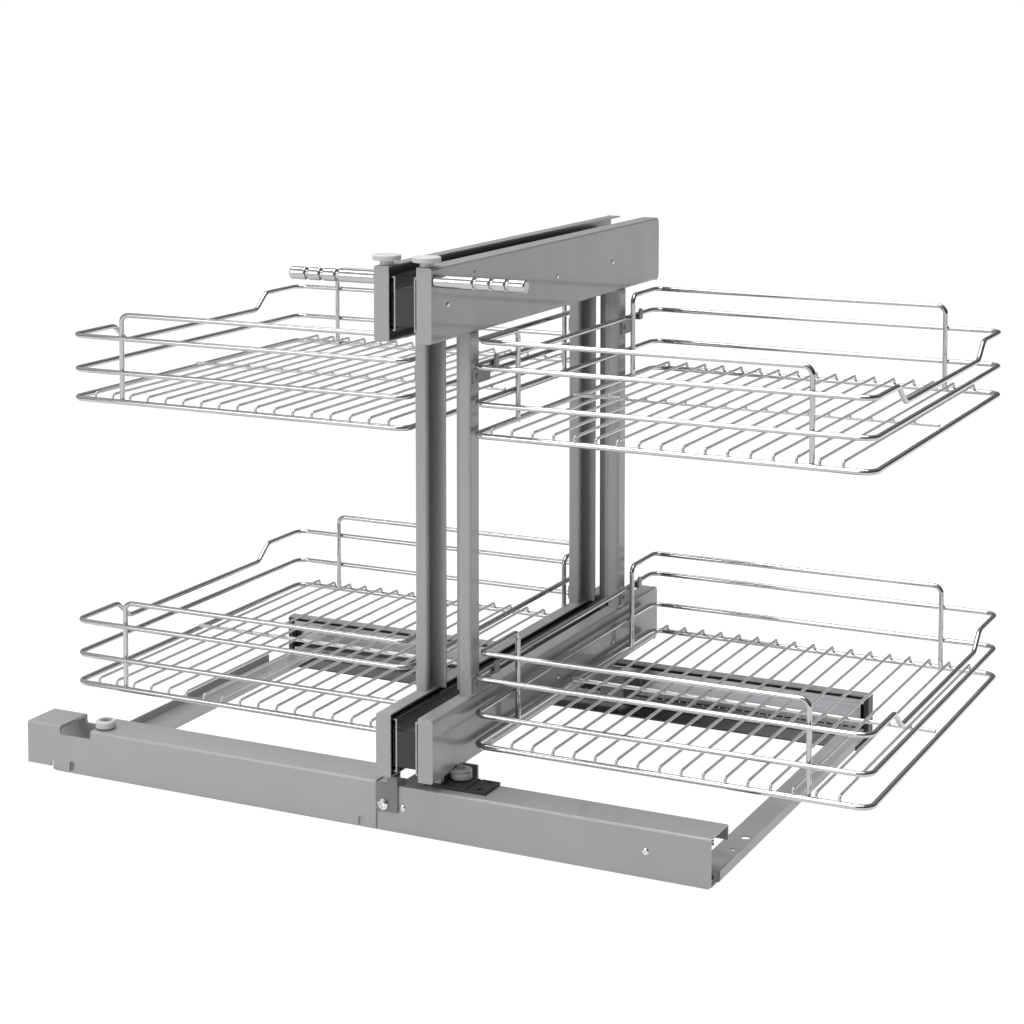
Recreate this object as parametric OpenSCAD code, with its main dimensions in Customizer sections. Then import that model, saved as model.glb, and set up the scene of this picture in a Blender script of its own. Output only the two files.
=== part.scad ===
// Pull-out basket unit for a corner cabinet: a low base with two cross slides, a
// carriage that shifts sideways, and two back-to-back frames that pull forward,
// each with two wire baskets. Millimetres, +X right, +Y to the back, +Z up.
// The frame is shown as in use: front faces at low Y, the base stands on Z = 0.

/* [Base] */
// From the middle of the two frames to the right end of the front rail
rail_right = 290; // [280:1:300]
// From the middle of the two frames to the left end of the front rail
rail_left = 400; // [395:1:405]
// How far the cover reaches past the front rail's left end
cover_reach = 30; // [30:0.5:32]
// Height of the front and the rear rail
rail_h = 45; // [44:0.5:48]
// Depth of the front rail's top
rail_w = 42; // [41.5:0.5:46]
// Depth of the rear rail's bottom flange
rear_w = 54; // [50:0.5:56]
// Back face of the rear rail
base_depth = 457; // [450:1:464]
// Width of the flat left side rail
left_w = 38.5; // [34:0.5:42]
// Width of the flat right side rail
right_w = 32; // [28:0.5:36]
// Height of the side rails' upright web
side_h = 10.5; // [8:0.5:11]
// Sheet thickness of rails and channels
sheet = 1.5; // [1.2:0.1:1.6]

/* [Frames] */
// Outer face of each frame, measured from the middle
frame_out = 29; // [28.5:0.1:29.2]
// Depth of the frame channels
chan_d = 15; // [14:0.5:16]
// Length of the frame channels, front to back
frame_len = 525; // [515:1:527]
// How far the channels stand in front of the front rail
frame_lead = 13; // [12:0.5:14]
// Air between the front rail's top and the lower channels
under_gap = 11; // [10.8:0.1:12]
// Height of the lower channels
low_h = 58.5; // [57:0.5:64]
// Height of the upper channels
top_h = 68; // [64:0.5:72]
// Free height of the posts
post_h = 338.5; // [320:0.5:350]
// Width of a post's front flange
post_w = 12.5; // [11:0.5:13.5]
// Depth of a post, front to back
post_d = 19; // [17:0.5:21]
// Front face of the front posts, behind the front rail
post_front = 62; // [58:1:66]
// Front face of the rear posts, behind the front rail
post_rear = 404; // [398:1:407]

/* [Baskets] */
// Width of a basket between wire centres
basket_w = 377; // [360:1:390]
// Depth of a basket between wire centres
basket_d = 428; // [415:1:435]
// Diameter of the rim wires
rim_d = 5; // [4.5:0.1:5.2]
// Diameter of the bottom rim wire
base_d = 5.5; // [5:0.1:6]
// Diameter of the floor wires
grid_d = 2.8; // [2.4:0.1:3.2]
// Number of floor wires
grid_n = 17; // [13:1:19]
// Height of the middle rim wire
mid_z = 29; // [25:0.5:33]
// Height of the top rim wire
top_z = 63; // [58:0.5:66]
// Height of the raised wires
high_z = 86; // [82:0.5:88]
// Depth of the dip in the outer top wire
dip = 17; // [14:0.5:20]

/* [Handles and rollers] */
// Length of the handles
handle_l = 89.6; // [85:0.1:100]
// Diameter of the handles
handle_d = 11.8; // [10:0.2:13]
// Diameter of the foot rollers and the cover roller
roller_d = 19.6; // [17:0.1:19.8]
// Diameter of the top rollers
knob_d = 26; // [22:0.5:30]

/* [Hidden] */
$fn = 48;
grey = [0.62, 0.62, 0.61];
zinc = [0.75, 0.77, 0.8];
black = [0.08, 0.08, 0.09];
white = [0.93, 0.92, 0.9];
chrome = [0.86, 0.87, 0.9];

// Heights of the channels and of the slides in their middles
low_z = rail_h + under_gap;
low_top = low_z + low_h;
top_zz = low_top + post_h;
top_top = top_zz + top_h;
low_mid = low_z + low_h / 2;
top_mid = top_zz + top_h / 2;
frame_in = frame_out - chan_d;

// Baskets: inner wires just outside the frames, floors level with the channels
bx0 = frame_out + 6;
bx1 = bx0 + basket_w;
by0 = post_front - 6;
by1 = by0 + basket_d;
weld = 0.4;
low_bz = low_z + 16.5;
top_bz = top_zz - 92;
post_in = rim_d - weld;
support_d = 4;
grid_in = 18.3;
grid_out = 27;
grid_x0 = bx0 + grid_in;
grid_step = (basket_w - grid_in - grid_out) / (grid_n - 1);
leg_x = grid_x0 + (grid_n - 2.4) * grid_step;

// Frame slides: a track on the beam, a middle member and a runner in the channel
beam_x = 9.5;
beam_h = 33;
beam_drop = 3;
low_beam_z = low_mid - beam_drop;
top_beam_z = top_mid - beam_drop;
beam_t = 2;
plug_t = 4;
track_h = 49;
post_in_x = 5.8;
slide_y0 = -frame_lead + 4;
slide_l = frame_len - 28;
runner_x = frame_out - sheet;
beam_y0 = slide_y0 + plug_t;
beam_y1 = slide_y0 + slide_l - 1;

// Holes for the screws that hold the base to the cabinet floor
floor_hole_d = 5.5;
floor_hole_y = [91, 360];

// Cross slides: a fixed track in each rail, a ball cage and a runner
cross_h = 35;
cross_z = (rail_h - cross_h) / 2;
notch_x = -rail_left + 9;
notch_w = 36.3;
notch_z = 37.5;
cross_x0 = notch_x + notch_w + 3;
cross_x1 = rail_right - 2;
rear_x0 = -rail_left - 2;
rear_x1 = rail_right + 2;
rear_top_w = 14;
cap_t = 5;
shelf_z = 14;

// The carriage shifts until the right foot roller stands in the middle of the notch
foot_x = frame_out + 5;
travel = foot_x - notch_x - notch_w / 2;
runner_left = rear_x0 + cap_t + 2 + travel;
runner_right = cross_x1 - 6;
cage_len = runner_right - runner_left + 100;

// Feet, rollers and clip
foot_y = 33.5;
foot_gap = 0.5;
foot_side = foot_x - roller_d / 2 - 0.7;
pad_h = 3;
ear_t = 1.5;
pin_r = 3;
bore_r = 3.05;
cover_top = rail_h + sheet;
cover_end = -36;
rest_edge = -34;
clip_end = -13.3;
clip_screw_x = -28;
clip_screw_z = 26.3;
spot_x = notch_x + 44.5;
spot_y = 13;
knob_x = frame_out - 8.8;
knob_y = -5;
handle_y = -6;
handle_z = top_top - 12;
groove_at = [49.2, 32.8, 17.7];
groove_w = 2.7;
core_r = 3.75;
head_t = 1.2;
fold_r = 1;
bend_reach = 0.5;
bend_thin = 0.02;

// The origin is under the middle of the whole object
far_left = max(rail_left + cover_reach, bx1 + base_d / 2);
far_right = max(rail_right, bx1 + base_d / 2);
near = knob_y - knob_d / 2;
far = max(base_depth + head_t, frame_len - frame_lead);
x_shift = (far_left - far_right) / 2;
y_shift = -(near + far) / 2;

module placed() {
    translate([x_shift, y_shift, 0])
        children();
}

module box(x0, x1, y0, y1, z0, z1) {
    translate([x0, y0, z0])
        cube([x1 - x0, y1 - y0, z1 - z0]);
}

// A flat outline in X and Z, drawn out along Y
module along_y(y0, len) {
    translate([0, y0 + len, 0])
        rotate([90, 0, 0])
            linear_extrude(len)
                children();
}

// A flat outline in Y and Z, drawn out along X
module along_x(x0, len) {
    translate([x0, 0, 0])
        rotate([90, 0, 90])
            linear_extrude(len)
                children();
}

// ---- Wire bending: straight rods and true round bends through any points ----

function unit(v) = v / norm(v);
function angle_of(u, v) = acos(max(-1, min(1, u * v)));

// Turn that carries the X, Y and Z directions to ex, ey and ez
function turn(ex, ey, ez) =
    abs(ex[2]) > 0.99999
        ? [atan2(-ez[1], ey[1]), ex[2] > 0 ? -90 : 90, 0]
        : [atan2(ey[2], ez[2]), asin(-ex[2]), atan2(ex[1], ex[0])];

module rod(p, q, d) {
    v = unit(q - p);
    translate(p)
        rotate([0, acos(v[2]), atan2(v[1], v[0])])
            cylinder(h = norm(q - p), d = d);
}

// Round bend at the corner p, coming along u and leaving along v. It is a hair
// thinner than the rods and reaches a little into both, so that they join cleanly.
module bend(p, u, v, r, d) {
    a = angle_of(u, v);
    n = unit(cross(u, v));
    ex = cross(u, n);
    translate(p - u * r * tan(a / 2) - ex * r)
        rotate(turn(ex, u, n))
            rotate([0, 0, -bend_reach])
                rotate_extrude(angle = a + 2 * bend_reach)
                    translate([r, 0])
                        circle(d = d - bend_thin);
}

// Wire through the points, every inner corner bent to radius r
module wire(pts, d, r, closed = false) {
    n = len(pts);
    last = closed ? n - 1 : n - 2;
    for (i = [0 : last]) {
        p = pts[i];
        q = pts[(i + 1) % n];
        u = unit(q - p);
        before = unit(p - pts[(i + n - 1) % n]);
        after = unit(pts[(i + 2) % n] - q);
        cut0 = closed || i > 0 ? r * tan(angle_of(before, u) / 2) : 0;
        cut1 = closed || i < n - 2 ? r * tan(angle_of(u, after) / 2) : 0;
        rod(p + u * cut0, q - u * cut1, d);
        if (closed || i < n - 2)
            bend(q, u, after, r, d);
    }
}

// ---- Folded sheet: a flat path thickened to its left, with round corners ----

function left_of(v) = [-v[1], v[0]];
function turn_of(u, v) = atan2(u[0] * v[1] - u[1] * v[0], u * v);
function fold_cut(a, t) = (a > 0 ? fold_r + t : fold_r) * tan(abs(a) / 2);

// Ring piece at the corner p, coming along u and leaving along v
module fold_corner(p, u, v, t) {
    s = sign(turn_of(u, v));
    c = p + s * left_of(u) * (s > 0 ? fold_r + t : fold_r);
    out = 2 * (fold_r + t);
    intersection() {
        translate(c)
            difference() {
                circle(r = fold_r + t);
                circle(r = fold_r);
            }
        polygon([c, c - s * left_of(u) * out, c - s * left_of(u) * out + u * out,
            c - s * left_of(v) * out]);
    }
}

module folded(pts, t = sheet) {
    n = len(pts);
    dir = [for (i = [0 : n - 2]) unit(pts[i + 1] - pts[i])];
    cut = [for (i = [0 : n - 1])
        i == 0 || i == n - 1 ? 0 : fold_cut(turn_of(dir[i - 1], dir[i]), t)];
    for (i = [0 : n - 2]) {
        a = pts[i] + dir[i] * cut[i];
        b = pts[i + 1] - dir[i] * cut[i + 1];
        w = left_of(dir[i]) * t;
        polygon([a, b, b + w, a + w]);
        if (i < n - 2)
            fold_corner(b, dir[i], dir[i + 1], t);
    }
}

// ---- Base ----

// Front rail: web in front, deep top with a lip, short bottom flange
module front_section() {
    folded([[rail_w, rail_h - 14], [rail_w, rail_h], [0, rail_h], [0, 0], [14, 0]]);
}

// Notch in which the right foot roller stands when the carriage is on the left
module notch_cut(z) {
    r = 2.5;
    x0 = notch_x + r;
    x1 = notch_x + notch_w - r;
    box(notch_x, notch_x + notch_w, -5, rail_w + 5, z + r, rail_h + 10);
    box(x0, x1, -5, rail_w + 5, z, rail_h);
    for (x = [x0, x1])
        translate([x, -5, z + r])
            rotate([-90, 0, 0])
                cylinder(h = rail_w + 10, r = r);
}

module cover_cuts() {
    notch_cut(notch_z);
    translate([spot_x, spot_y, rail_h - 5])
        cylinder(h = 10, r = pin_r + 0.1);
}

// Small slot with a round top in the lower edge: middle, half width, bottom, top
module edge_slot(x, w, z0, z1) {
    box(x - w, x + w, -5, sheet + 0.1, z0, z1 - w);
    translate([x, -5, z1 - w])
        rotate([-90, 0, 0])
            cylinder(h = 5 + sheet + 0.1, r = w);
}

module left_slot(z0) {
    edge_slot(notch_x + 14, 3.1, z0, 13);
}

module front_rail() {
    placed() color(grey)
        difference() {
            along_x(-rail_left, rail_left + rail_right)
                front_section();
            cover_cuts();
            left_slot(4);
            box(rest_edge, clip_end - 1.4, 20, rail_w + 1, rail_h - 15, rail_h + 1);
            rail_corner(-rail_left, 1);
            rail_corner(rail_right, -1);
        }
}

// Cuts the lower corner off at one end of the front rail
module rail_corner(x, s) {
    along_y(-5, 40)
        polygon([[x - s, -1], [x + s * 4, -1], [x - s, 4]]);
}

module rail_cover() {
    x0 = -rail_left - cover_reach;
    back = rail_w + sheet;
    left_edge = -rail_left + 0.5;
    placed() color(grey)
        difference() {
            along_x(x0, cover_end - x0)
                folded([[back, rail_h - 27], [back, cover_top], [-sheet, cover_top], [-sheet, 2.5]]);
            cover_cuts();
            left_slot(-1);
            edge_slot(cover_end - 15.3, 3.1, -1, 11.5);
            box(x0 - 1, left_edge, -5, 1, 0, 5.2);
            box(left_edge - 2, left_edge, -5, 1, 0, 12);
            box(notch_x + notch_w + 30, cover_end + 1, rail_w - 1, back + 1, 0, rail_h - 14);
        }
}

module cover_clip() {
    placed() color(grey)
        difference() {
            union() {
                box(cover_end + 0.2, clip_end, -2, 0, 19.5, rail_h + 1);
                box(-foot_side, clip_end, -2, 0, rail_h + 1, rail_h + 8);
            }
            translate([clip_screw_x, 1, clip_screw_z])
                rotate([90, 0, 0])
                    cylinder(h = 5, r = 2.7);
        }
}

module cross_recess(r, depth) {
    for (a = [0, 90])
        rotate([0, 0, a])
            translate([-r, -0.6, 0])
                cube([2 * r, 1.2, depth]);
}

module clip_screw() {
    translate([clip_screw_x, -2, clip_screw_z])
        rotate([90, 0, 0])
            difference() {
                union() {
                    cylinder(h = 1.4, r = 5.3);
                    translate([0, 0, 1.4])
                        cylinder(h = 1.4, r1 = 5.3, r2 = 3.4);
                    translate([0, 0, -2])
                        cylinder(h = 2, r = 2.5);
                }
                translate([0, 0, 1.2])
                    cross_recess(2.6, 3);
            }
}

// Side rail lying on the bottom flanges: folded web outside, holes for floor screws.
// Drawn for the right side; w is the width, the web's outer face at X = 0.
module side_rail(w) {
    web0 = 17;
    web1 = base_depth - rear_w - 6;
    difference() {
        union() {
            along_y(web0, web1 - web0)
                folded([[-w, sheet], [0, sheet], [0, sheet + side_h]]);
            box(-w, -sheet - fold_r, sheet + 1.5, base_depth - 6, sheet, 2 * sheet);
        }
        for (y = floor_hole_y)
            translate([-w / 2, y, 0]) {
                cylinder(h = 10, d = floor_hole_d);
                translate([0, y < base_depth / 2 ? 32 : -32, 0])
                    cylinder(h = 10, d = 9);
            }
    }
}

module side_rail_left() {
    placed() color(grey)
        translate([-rail_left - 2, 0, 0])
            mirror([1, 0, 0])
                side_rail(left_w);
}

module side_rail_right() {
    placed() color(grey)
        translate([rail_right + 2, 0, 0])
            side_rail(right_w);
}

// Rear rail: web behind, short top, deep bottom flange
module rear_rail() {
    y1 = base_depth;
    placed() color(grey)
        along_x(rear_x0, rear_x1 - rear_x0)
            folded([[y1 - rear_w, 0], [y1, 0], [y1, rail_h], [y1 - rear_top_w, rail_h]]);
}

module rear_caps() {
    y1 = base_depth - sheet - 1.2;
    placed() color(black)
        for (x = [rear_x0, rear_x1 - cap_t])
            box(x, x + cap_t, base_depth - rear_top_w - 1, y1, 2 * sheet, rail_h - sheet);
}

module rivet_head(r = 3) {
    cylinder(h = head_t * 0.5, r = r);
    translate([0, 0, head_t * 0.5])
        cylinder(h = head_t * 0.5, r1 = r, r2 = r * 0.6);
}

module rail_rivets() {
    placed() color(zinc) {
        for (x = [clip_end + 4.5, rail_right - 60])
            translate([x, 0, rail_h / 2 + 2])
                rotate([90, 0, 0])
                    rivet_head();
        for (x = [rear_x0 + 60, -75, rear_x1 - 60])
            translate([x, base_depth, rail_h / 2])
                rotate([-90, 0, 0])
                    rivet_head();
    }
}

module cross_track_section() {
    difference() {
        square([11, cross_h]);
        translate([1.4, 1.4])
            square([8.2, cross_h - 2.8]);
        translate([9, 4.4])
            square([3, cross_h - 8.8]);
    }
}

module cross_runner_section() {
    difference() {
        translate([3, 5.3])
            square([5.9, cross_h - 10.6]);
        translate([2, 6.7])
            square([5.5, cross_h - 13.4]);
    }
}

module cross_cage_section() {
    translate([1.8, 1.8])
        square([0.8, cross_h - 3.6]);
    for (z = [1.8, cross_h - 4.9])
        translate([2.6, z])
            square([6.2, 3.1]);
}

// Moves a slide section into the front rail, or turned into the rear rail
module in_front() {
    translate([0, sheet, cross_z])
        children();
}

module in_rear() {
    translate([0, base_depth - sheet, cross_z])
        mirror([0, 1, 0])
            children();
}

module front_slide_fixed() {
    placed() color(zinc)
        in_front()
            along_x(cross_x0, cross_x1 - cross_x0)
                cross_track_section();
}

module rear_slide_fixed() {
    placed() color(zinc)
        in_rear()
            along_x(rear_x0 + cap_t + 1, rear_x1 - rear_x0 - 2 * cap_t - 2)
                cross_track_section();
}

module front_slide_runner() {
    placed() color(zinc)
        in_front()
            along_x(runner_left, runner_right - runner_left)
                cross_runner_section();
}

module rear_slide_runner() {
    placed() color(zinc)
        in_rear()
            along_x(runner_left, runner_right - runner_left)
                cross_runner_section();
}

module front_cage() {
    placed() color(black)
        in_front()
            along_x(cross_x1 - 4 - cage_len, cage_len)
                cross_cage_section();
}

module rear_cage() {
    placed() color(black)
        in_rear()
            along_x(cross_x1 - 4 - cage_len, cage_len)
                cross_cage_section();
}

// Round white roller with a bore and a pocket for the screw head, axis upright
module roller_body(d, h, pocket) {
    c = 1.2;
    rotate_extrude()
        polygon([[bore_r, 0], [d / 2 - c, 0], [d / 2, c], [d / 2, h - c], [d / 2 - c, h],
            [6, h], [6, h - pocket], [bore_r, h - pocket]]);
}

module cover_roller() {
    placed() color(white)
        translate([spot_x, spot_y, cover_top + 1])
            roller_body(roller_d, 7.5, 3);
}

module cover_roller_screw() {
    translate([spot_x, spot_y, cover_top])
        difference() {
            union() {
                cylinder(h = 0.8, r = 5);
                translate([0, 0, -sheet * 2 - 2])
                    cylinder(h = sheet * 2 + 8, r = pin_r);
                translate([0, 0, -sheet * 2 - 2])
                    cylinder(h = 2, r = 4.5);
                translate([0, 0, 5.8])
                    cylinder(h = 2.2, r = 5.4);
            }
            translate([0, 0, 6.8])
                cross_recess(3.2, 3);
        }
}

module base_screws() {
    placed() color(zinc) {
        clip_screw();
        cover_roller_screw();
    }
}

module rest_pad() {
    placed() color(black)
        difference() {
            box(8, 70, 10, rail_w - 1, rail_h, rail_h + pad_h);
            for (y = [16, rail_w - 7])
                translate([62, y, rail_h + pad_h - 1])
                    cylinder(h = 2, r = 2.4);
            box(50, 52, 9, rail_w, rail_h + pad_h - 0.8, rail_h + pad_h + 1);
            glide_block_body(0.1);
        }
}

// White block that stands in the pad, beside the foot roller's path
module glide_block_body(play) {
    box(foot_side - 14 - play, foot_side + play, 13 - play, 20 + play, rail_h - play, rail_h + 8.5);
}

module glide_block() {
    placed() color(white)
        glide_block_body(0);
}

// ---- Carriage ----

// Sheet carrier: pad on the runner, shelf under the rail's lip, upright, neck, foot
module carrier_shape() {
    y0 = 8.9 + sheet;
    x1 = foot_x + 4;
    low = low_beam_z - beam_h / 2;
    box(runner_left, x1, y0, y0 + 3, shelf_z, cross_z + 28);
    box(runner_left, x1, y0, 60, shelf_z, shelf_z + 3);
    box(runner_left, x1, 57, 60, shelf_z, low_z - 2.5);
    box(-8, x1, 57, 60, low_z - 20, low_z - 2.5);
    box(-8, beam_x, 57, 60, low_z - 20, low);
    box(-8, beam_x, 57, 85, low - 3, low);
}

module front_carrier() {
    placed() color(zinc)
        carrier_shape();
}

module rear_carrier() {
    placed() color(zinc)
        translate([0, base_depth, 0])
            mirror([0, 1, 0])
                carrier_shape();
}

// Open square tube between the slides
module beam(z) {
    h = beam_h / 2;
    difference() {
        box(-beam_x, beam_x, beam_y0, beam_y1, z - h, z + h);
        box(-beam_x + beam_t, beam_x - beam_t, beam_y0 - 1, beam_y1 + 1, z - h + beam_t, z + h - beam_t);
    }
}

module lower_beam() {
    placed() color(zinc)
        beam(low_beam_z);
}

module upper_beam() {
    placed() color(zinc)
        beam(top_beam_z);
}

// End plug of a beam: a plate with a spigot inside the tube
module plug(z) {
    h = beam_h / 2;
    in = beam_t + 0.3;
    box(-beam_x, beam_x, 0, plug_t, z - h, z + h);
    box(-beam_x + in, beam_x - in, 0, plug_t + 8, z - h + in, z + h - in);
}

module beam_plugs() {
    placed() color(black)
        for (z = [low_beam_z, top_beam_z]) {
            translate([0, beam_y0 - plug_t, 0])
                plug(z);
            translate([0, beam_y1 + plug_t, 0])
                mirror([0, 1, 0])
                    plug(z);
        }
}

module carriage_upright() {
    y1 = beam_y1 - 17;
    placed() color(grey)
        box(-4, 4, y1 - 40, y1, low_beam_z + beam_h / 2, top_beam_z - beam_h / 2);
}

module track_section() {
    difference() {
        translate([beam_x, -track_h / 2])
            square([11, track_h]);
        translate([beam_x + 1.4, -track_h / 2 + 1.4])
            square([8.2, track_h - 2.8]);
        translate([beam_x + 9, -track_h / 2 + 4.4])
            square([3, track_h - 8.8]);
    }
}

// Rectangle in X and Z whose two right corners are cut off at 45 degrees
module cut_corners(x0, x1, h, c) {
    polygon([[x0, -h], [x1 - c, -h], [x1, c - h], [x1, h - c], [x1 - c, h], [x0, h]]);
}

module middle_section() {
    difference() {
        cut_corners(beam_x + 2.8, beam_x + 12, 19.5, 3);
        cut_corners(beam_x + 4.2, beam_x + 10.6, 18.1, 2.4);
        translate([beam_x + 10, -14.6])
            square([5, 29.2]);
    }
    for (s = [-1, 1]) {
        translate([beam_x + 4.8, s * 21.1 - 1.6])
            square([3.6, 3.2]);
        translate([beam_x + 5.2, s * 16.3 - 1.9])
            square([3.2, 3.8]);
    }
}

module runner_section() {
    difference() {
        translate([beam_x + 6.5, -14])
            square([runner_x - beam_x - 6.5, 28]);
        translate([beam_x + 5, -12.6])
            square([runner_x - beam_x - 6.4, 25.2]);
    }
}

module both_sides() {
    children();
    mirror([1, 0, 0])
        children();
}

module tracks(z) {
    both_sides()
        translate([0, 0, z])
            along_y(slide_y0, slide_l)
                track_section();
}

module lower_tracks() {
    placed() color(zinc)
        tracks(low_mid);
}

module upper_tracks() {
    placed() color(zinc)
        tracks(top_mid);
}

module middle(z) {
    translate([0, 0, z])
        along_y(slide_y0, slide_l)
            middle_section();
}

// Left parts are the right parts mirrored about the middle of the frames
module on_side(left) {
    placed()
        if (left)
            mirror([1, 0, 0])
                children();
        else
            children();
}

module mid_low_left() {
    color(zinc) on_side(true) middle(low_mid);
}

module mid_top_left() {
    color(zinc) on_side(true) middle(top_mid);
}

module mid_low_right() {
    color(zinc) on_side(false) middle(low_mid);
}

module mid_top_right() {
    color(zinc) on_side(false) middle(top_mid);
}

// ---- Frames ----

// Channel: folded C, front plate, and a web with round rear corners
module channel(z, h) {
    y0 = -frame_lead;
    y1 = y0 + frame_len;
    r = 7;
    translate([0, 0, z]) {
        along_y(y0, frame_len - r)
            folded([[frame_in, 0], [frame_out, 0], [frame_out, h], [frame_in, h]]);
        along_y(y0, sheet)
            channel_plate(h);
        box(frame_out - sheet, frame_out, y1 - r, y1, r, h - r);
        for (s = [r, h - r])
            intersection() {
                translate([frame_out - sheet, y1 - r, s])
                    rotate([0, 90, 0])
                        cylinder(h = sheet, r = r);
                box(frame_out - sheet, frame_out, y1 - r, y1, 0, h);
            }
    }
}

// Filled outline of the channel: its front plate
module channel_plate(h) {
    r = fold_r + sheet;
    translate([frame_in, 0])
        square([chan_d - r, h]);
    translate([frame_out - r, r])
        square([r, h - 2 * r]);
    for (z = [r, h - r])
        translate([frame_out - r, z])
            circle(r = r);
}

// Ear under the low channel for the foot roller, with a small relief in the web
module low_channel() {
    r = roller_d / 2;
    difference() {
        union() {
            channel(low_z, low_h);
            box(frame_out - 9, foot_x, foot_y - r, foot_y + r, low_z, low_z + ear_t);
            translate([foot_x, foot_y, low_z])
                cylinder(h = ear_t, r = r);
        }
        translate([foot_x, foot_y, low_z - 1])
            cylinder(h = 5, r = pin_r + 0.2);
        along_x(frame_out - sheet - fold_r - 0.5, 5)
            polygon([[foot_y - 13, low_z + ear_t], [foot_y, low_z + ear_t], [foot_y, low_z + 5]]);
    }
}

module top_channel() {
    difference() {
        channel(top_zz, top_h);
        translate([frame_out - 5, 71, top_top - 12])
            rotate([0, 90, 0])
                cylinder(h = 10, r = 1.6);
        translate([knob_x, knob_y, top_top - 5])
            cylinder(h = 10, r = pin_r + 0.1);
    }
}

// Folded post: web outside, narrow front flange with a lip, wider rear flange
module post(y) {
    x0 = frame_out - post_w;
    translate([0, 0, low_top])
        linear_extrude(post_h)
            folded([[x0, y + 5], [x0, y], [frame_out, y], [frame_out, y + post_d],
                [post_in_x, y + post_d]]);
}

module runners() {
    for (z = [low_mid, top_mid])
        translate([0, 0, z])
            along_y(slide_y0, slide_l)
                runner_section();
}

module frame_rivets() {
    for (p = [[18, top_mid - 2], [250, top_mid - 2], [386, top_mid - 2],
            [254, low_mid - 2.8], [389, low_mid - 2.8]])
        translate([frame_out, p[0], p[1]])
            rotate([0, 90, 0])
                rivet_head(2.6);
}

// Half outline of a round bar from a to b with rounded ends, for turning about its axis
module bar_outline(a, b, r, c) {
    translate([0, a])
        square([r - c, b - a]);
    translate([0, a + c])
        square([r, b - a - 2 * c]);
    for (y = [a + c, b - c])
        translate([r - c, y])
            circle(r = c);
}

// Handle: a round bar with three grooves near the rounded tip
module handle() {
    r = handle_d / 2;
    l = handle_l;
    edges = concat([0], [for (g = groove_at) for (s = [-0.5, 0.5]) l - g + s * groove_w], [l]);
    translate([frame_out, handle_y, handle_z])
        rotate([0, 90, 0])
            rotate_extrude() {
                for (i = [0 : 3])
                    bar_outline(edges[2 * i], edges[2 * i + 1], r, 1.6);
                square([core_r, l - 1]);
            }
}

// Foot roller screw: head in the roller's pocket, collar on top of the ear
module foot_screw() {
    h = under_gap - pad_h - foot_gap;
    translate([foot_x, foot_y, low_z - h])
        difference() {
            union() {
                translate([0, 0, 0.4])
                    cylinder(h = 2.3, r = 5.4);
                translate([0, 0, 1])
                    cylinder(h = h + ear_t - 1, r = pin_r);
                translate([0, 0, h + ear_t])
                    cylinder(h = 0.8, r = 4);
            }
            translate([0, 0, -1])
                cross_recess(3.2, 2.4);
        }
}

module foot_roller() {
    h = under_gap - pad_h - foot_gap - 0.3;
    translate([foot_x, foot_y, low_z - 0.3])
        mirror([0, 0, 1])
            roller_body(roller_d, h, 3);
}

// Stud of the top roller, its head under the channel's top
module knob_stud() {
    translate([knob_x, knob_y, top_top - sheet - 1.5]) {
        cylinder(h = 7.5, r = pin_r);
        cylinder(h = 1.5, r = 4.5);
    }
}

module roller_pins() {
    foot_screw();
    knob_stud();
}

// White roller on top of the upper channel: a flat disc on a neck
module top_roller() {
    r = knob_d / 2;
    translate([knob_x, knob_y, top_top + 0.4])
        rotate_extrude()
            difference() {
                union() {
                    square([6.2, 5]);
                    bar_outline(4, 9, r, 1.2);
                }
                translate([-1, -1])
                    square([bore_r + 1, 6.6]);
            }
}

// Hooks on the posts that carry the baskets' inner top wires
module hanger(y, z) {
    x = frame_out;
    y0 = y + 29;
    under = z - rim_d / 2;
    hook = x + 9.4;
    box(x, x + 2, y + 4, y0 + 8, z - 18, under - 2);
    box(x, hook + 2, y0, y0 + 8, under - 2, under);
    box(hook, hook + 2, y0, y0 + 8, under - 2, z + 3);
    translate([hook, y0 + 4, z + 3])
        rotate([0, 90, 0])
            cylinder(h = 2, r = 4);
    translate([x + 2, y + 10, z - 11])
        rotate([0, 90, 0])
            rivet_head(2.4);
}

module hangers() {
    for (z = [low_bz + top_z, top_bz + top_z])
        for (y = [post_front, post_rear])
            hanger(y, z);
}

// ---- Baskets ----

module loop(z, d) {
    wire([[bx0, by0, z], [bx1, by0, z], [bx1, by1, z], [bx0, by1, z]], d, 12, true);
}

// Raised wire: up from the rim at yc, along the inner side, down at ye
module raised_wire(yc, ye) {
    ix = bx0 + post_in;
    wire([[leg_x, yc, -1], [leg_x, yc, high_z], [ix, yc, high_z], [ix, ye, high_z], [ix, ye, -1]],
        rim_d, 8);
}

// Rim: three loops, the top one dipping on its outer side, and two raised wires
module rim(z) {
    dip_y = 90;
    fy = by0 + post_in;
    ry = by1 - post_in;
    translate([0, 0, z]) {
        loop(0, base_d);
        loop(mid_z, rim_d);
        wire([[bx0, by0, top_z], [bx1, by0, top_z], [bx1, by0 + dip_y - 21, top_z],
            [bx1, by0 + dip_y, top_z - dip], [bx1, by1 - dip_y, top_z - dip],
            [bx1, by1 - dip_y + 21, top_z], [bx1, by1, top_z], [bx0, by1, top_z]],
            rim_d, 12, true);
        raised_wire(fy, by0 + 84);
        raised_wire(ry, by1 - 68);
    }
}

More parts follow.
